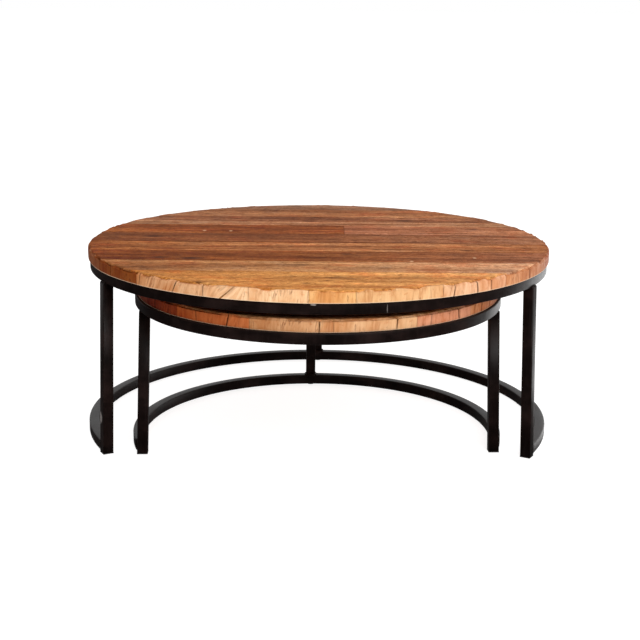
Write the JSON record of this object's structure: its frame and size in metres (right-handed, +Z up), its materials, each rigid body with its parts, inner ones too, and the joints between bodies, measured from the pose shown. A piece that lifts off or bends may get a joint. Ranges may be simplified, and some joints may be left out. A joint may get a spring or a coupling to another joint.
{
  "type": "nesting tables",
  "caption": "Round nesting coffee tables: boarded wood tops on open frames of dark square steel tube, the smaller table sliding in under the larger.",
  "frame": {"origin": "on the floor, under the middle of the larger table's top", "axes": "+Z up; the larger table's open side, between its front legs, faces -Y; +X is to the right as seen from the front"},
  "size_m": [0.915, 0.9075, 0.37],
  "materials": {
    "wood_grey_brown": "waxed satin",
    "wood_orange": "waxed satin",
    "wood_tan": "waxed satin",
    "wood_red_brown": "waxed satin",
    "wood_dark_brown": "waxed satin",
    "wood_golden": "waxed satin",
    "wood_edging": "waxed satin",
    "black_lacquer": "satin",
    "black_plastic": "matte",
    "zinc_screws": "plated"
  },
  "bodies": {
    "outer_table": {"outer_base_arc": "black_lacquer", "outer_base_pads": "black_plastic", "outer_board_01": "wood_grey_brown", "outer_board_02": "wood_orange", "outer_board_03": "wood_grey_brown", "outer_board_04": "wood_tan", "outer_board_05_left": "wood_red_brown", "outer_board_05_right": "wood_red_brown", "outer_board_06": "wood_grey_brown", "outer_board_07": "wood_orange", "outer_board_08": "wood_dark_brown", "outer_board_09": "wood_tan", "outer_board_10": "wood_golden", "outer_edging_strips": "wood_edging", "outer_fixing_tabs": "black_lacquer", "outer_front_leg_left": "black_lacquer", "outer_front_leg_right": "black_lacquer", "outer_leg_cap_left": "black_plastic", "outer_leg_cap_right": "black_plastic", "outer_rear_leg": "black_lacquer", "outer_top_ring": "black_lacquer", "outer_top_screws": "zinc_screws"},
    "inner_table": {"inner_base_arc": "black_lacquer", "inner_base_pads": "black_plastic", "inner_board_01": "wood_red_brown", "inner_board_02": "wood_tan", "inner_board_03": "wood_grey_brown", "inner_board_04_left": "wood_orange", "inner_board_04_right": "wood_orange", "inner_board_05": "wood_dark_brown", "inner_board_06": "wood_golden", "inner_board_07": "wood_red_brown", "inner_board_08": "wood_tan", "inner_edging_strips": "wood_edging", "inner_fixing_tabs": "black_lacquer", "inner_front_leg_left": "black_lacquer", "inner_front_leg_right": "black_lacquer", "inner_leg_cap_left": "black_plastic", "inner_leg_cap_right": "black_plastic", "inner_rear_leg": "black_lacquer", "inner_top_ring": "black_lacquer", "inner_top_screws": "zinc_screws"}
  },
  "joints": [
    {"name": "inner_table_slide", "type": "slide", "parent": "outer_table", "child": "inner_table", "axis": [0, -1, 0], "range_m": [-0.17, 0.75]}
  ]
}
